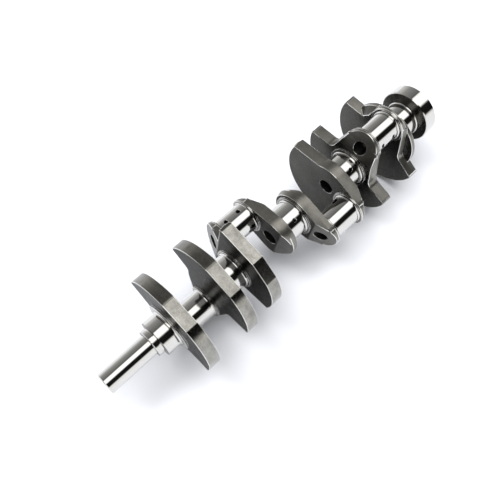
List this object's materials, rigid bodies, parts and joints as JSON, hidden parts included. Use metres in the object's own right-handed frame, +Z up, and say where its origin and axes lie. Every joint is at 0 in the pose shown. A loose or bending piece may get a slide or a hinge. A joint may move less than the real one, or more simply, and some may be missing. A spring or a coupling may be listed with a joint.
{
  "type": "crankshaft",
  "caption": "One-piece cross-plane crankshaft: ground main journals and crankpins between forged webs with counterweights, plain nose, round rear flange.",
  "frame": {"origin": "on the main axis at the middle of main journal 3", "axes": "+X along the main axis from nose to rear flange, +Z up as the shaft lies, +Y to the left seen from the nose"},
  "size_m": [0.647, 0.1595, 0.1679],
  "materials": {
    "ground_steel": "ground and polished steel",
    "forged_web": "shot-peened forged steel, dark satin",
    "flange_steel": "ground steel rim, dark turned faces",
    "hardened_pin": "plain hardened steel"
  },
  "bodies": {
    "root": {"nose": "ground_steel", "gear_seat": "ground_steel", "main_journal_1": "ground_steel", "main_journal_2": "ground_steel", "main_journal_3": "ground_steel", "main_journal_4": "ground_steel", "main_journal_5": "ground_steel", "crankpin_1": "ground_steel", "crankpin_2": "ground_steel", "crankpin_3": "ground_steel", "crankpin_4": "ground_steel", "counterweight_1": "forged_web", "counterweight_2": "forged_web", "counterweight_3": "forged_web", "plain_web_4": "forged_web", "plain_web_5": "forged_web", "counterweight_6": "forged_web", "counterweight_7": "forged_web", "counterweight_8": "forged_web", "rear_flange": "flange_steel", "flange_dowel": "hardened_pin"}
  },
  "joints": []
}
